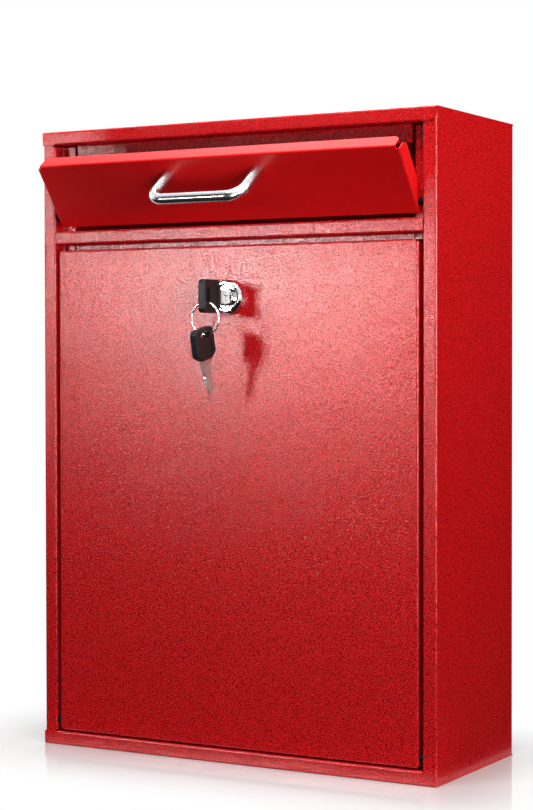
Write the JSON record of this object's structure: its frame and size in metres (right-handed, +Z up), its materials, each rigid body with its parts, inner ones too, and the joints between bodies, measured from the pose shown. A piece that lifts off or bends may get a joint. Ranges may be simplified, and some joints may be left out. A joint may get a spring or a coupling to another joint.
{
  "type": "wall mounted post box",
  "caption": "Flat wall mounted post box of folded red sheet steel with a tilting letter flap and bar handle, a lockable drop-down collection door, and keys on a ring.",
  "frame": {"origin": "centre of the four wall screw holes, on the back face of the box", "axes": "+X to the right seen from the front, +Y from the front back into the wall, +Z up"},
  "size_m": [0.291, 0.1622, 0.411],
  "materials": {
    "case_paint": "fine textured red powder coat",
    "flap_paint": "smooth satin red enamel",
    "handle_chrome": "bright plated",
    "lock_chrome": "bright plated",
    "zinc_steel": "zinc plated",
    "key_steel": "nickel plated",
    "ring_steel": "bright wire",
    "key_plastic": "satin black"
  },
  "bodies": {
    "case": {"case_wrap": "case_paint", "top_panel": "case_paint", "bottom_panel": "case_paint", "mid_rail": "case_paint", "flap_pin_left": "zinc_steel", "flap_pin_right": "zinc_steel", "flap_clips": "zinc_steel", "door_pin_left": "zinc_steel", "door_pin_right": "zinc_steel"},
    "flap": {"flap_panel": "flap_paint", "flap_handle": "handle_chrome", "handle_screws": "zinc_steel"},
    "door": {"door_panel": "case_paint", "lock_barrel": "lock_chrome", "lock_washer": "zinc_steel", "lock_nut": "zinc_steel"},
    "plug": {"lock_plug": "lock_chrome", "lock_cam": "zinc_steel", "cam_screw": "zinc_steel"},
    "key": {"key_head": "key_plastic", "key_blade": "key_steel"},
    "ring": {"key_ring": "ring_steel"},
    "spare_key": {"spare_key_head": "key_plastic", "spare_key_blade": "key_steel"}
  },
  "joints": [
    {"name": "flap_hinge", "type": "hinge", "parent": "case", "child": "flap", "pos_m": [0, -0.1128, 0.1484], "axis": [1, 0, 0], "range_deg": [-37, 0]},
    {"name": "door_hinge", "type": "hinge", "parent": "case", "child": "door", "pos_m": [0, -0.1131, -0.189], "axis": [1, 0, 0], "range_deg": [0, 120]},
    {"name": "lock_turn", "type": "hinge", "parent": "door", "child": "plug", "pos_m": [0, -0.11, 0.0929], "axis": [0, 1, 0], "range_deg": [0, 90]},
    {"name": "key_pull", "type": "slide", "parent": "plug", "child": "key", "axis": [0, -1, 0], "range_m": [0, 0.024]},
    {"name": "ring_swing", "type": "hinge", "parent": "key", "child": "ring", "pos_m": [0, -0.1452, 0.0888], "axis": [1, 0, 0], "range_deg": [-60, 8]},
    {"name": "spare_key_swing", "type": "hinge", "parent": "ring", "child": "spare_key", "pos_m": [0, -0.1452, 0.069], "axis": [1, 0, 0], "range_deg": [-60, 10]}
  ]
}
